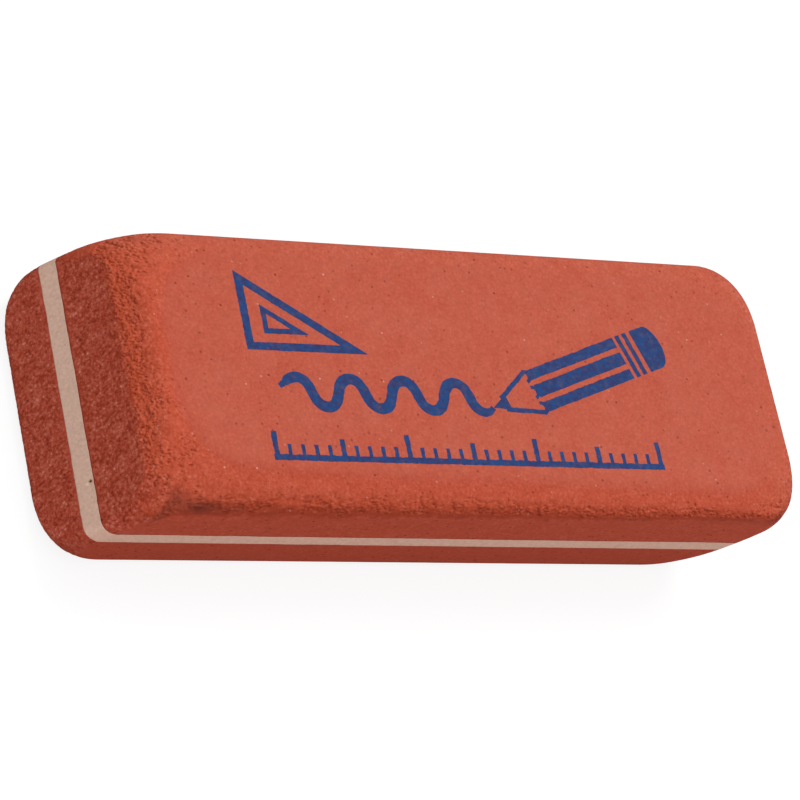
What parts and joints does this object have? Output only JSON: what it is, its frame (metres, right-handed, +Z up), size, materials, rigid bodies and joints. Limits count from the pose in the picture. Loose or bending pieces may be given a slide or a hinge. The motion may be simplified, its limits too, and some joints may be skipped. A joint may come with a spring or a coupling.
{
  "type": "rubber eraser",
  "caption": "Red block eraser with slanted ends, rounded worn edges and a thin off-white layer between its two red rubber layers.",
  "frame": {"origin": "middle of the underside's box, on the surface that the eraser lies on", "axes": "+X along the length, towards the end that overhangs; +Y across the width; +Z up, out of the printed face"},
  "size_m": [0.0549, 0.02, 0.0094],
  "materials": {
    "red_rubber": "matte, fine-grained, slightly dusty",
    "white_rubber": "matte, smooth-cut"
  },
  "bodies": {
    "root": {"upper_layer": "red_rubber", "middle_layer": "white_rubber", "lower_layer": "red_rubber"}
  },
  "joints": []
}
